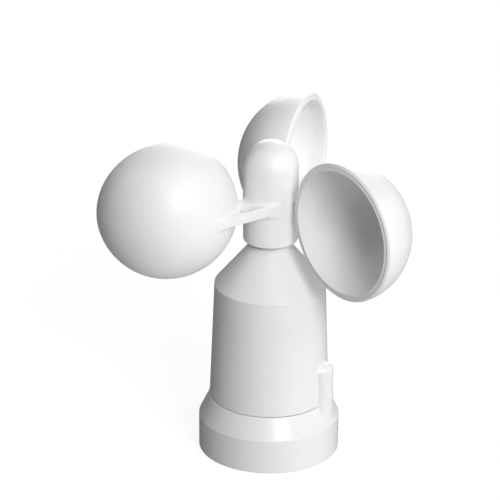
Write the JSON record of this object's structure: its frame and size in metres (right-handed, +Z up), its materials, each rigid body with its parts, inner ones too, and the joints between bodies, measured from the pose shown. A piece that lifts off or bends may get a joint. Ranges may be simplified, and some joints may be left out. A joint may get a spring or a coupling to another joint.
{
  "type": "cup anemometer",
  "caption": "White plastic cup anemometer: hemispherical cups on a domed hub that spins on ball bearings above a tapered housing with a round base ring.",
  "frame": {"origin": "centre of the base ring's flat underside, on the rotor's axis", "axes": "+Z up along the rotor's axis; the pictured front is towards -Y, with +X to its right"},
  "size_m": [0.1431, 0.1393, 0.156],
  "materials": {
    "white_housing": "satin gloss moulded",
    "white_rotor": "gloss moulded",
    "steel": "ground",
    "brass": "machined",
    "aluminium": "machined",
    "black_rubber": "matt",
    "black_plastic": "moulded",
    "nylon": "natural",
    "magnet": "nickel plated",
    "circuit_green": "solder mask"
  },
  "bodies": {
    "root": {"base_ring": "white_housing", "housing": "white_housing", "seam_gasket": "black_rubber", "bearing_tube": "aluminium", "tube_circlip": "steel", "upper_outer_race": "steel", "lower_outer_race": "steel", "circuit_board": "circuit_green", "hall_sensor": "black_plastic", "signal_chip": "black_plastic", "smoothing_capacitor": "aluminium", "terminal_block": "circuit_green", "board_screw_1": "steel", "board_screw_2": "steel", "board_screw_3": "steel", "housing_screw_1": "steel", "housing_screw_2": "steel", "housing_screw_3": "steel", "mount_insert_1": "brass", "mount_insert_2": "brass", "mount_insert_3": "brass", "cable_grommet": "black_rubber"},
    "rotor": {"rotor_hub": "white_rotor", "cup_arm_1": "white_rotor", "cup_arm_2": "white_rotor", "cup_arm_3": "white_rotor", "hub_insert": "brass", "shaft": "steel", "shaft_circlip": "steel", "shaft_spacer": "brass", "dust_seal": "black_rubber", "upper_inner_race": "steel", "lower_inner_race": "steel", "magnet_carrier": "nylon", "sensor_magnet_1": "magnet", "sensor_magnet_2": "magnet", "carrier_nut": "steel"},
    "upper_cage": {"upper_ball_cage": "steel"},
    "lower_cage": {"lower_ball_cage": "steel"}
  },
  "joints": [
    {"name": "rotor_spin", "type": "hinge", "parent": "root", "child": "rotor", "pos_m": [0, 0, 0.1235], "axis": [0, 0, 1], "continuous": true},
    {"name": "upper_cage_roll", "type": "hinge", "parent": "root", "child": "upper_cage", "pos_m": [0, 0, 0.0971], "axis": [0, 0, 1], "continuous": true},
    {"name": "lower_cage_roll", "type": "hinge", "parent": "root", "child": "lower_cage", "pos_m": [0, 0, 0.0728], "axis": [0, 0, 1], "continuous": true}
  ],
  "couplings": [
    {"joint": "upper_cage_roll", "follows": "rotor_spin", "ratio": 0.406},
    {"joint": "lower_cage_roll", "follows": "rotor_spin", "ratio": 0.406}
  ]
}
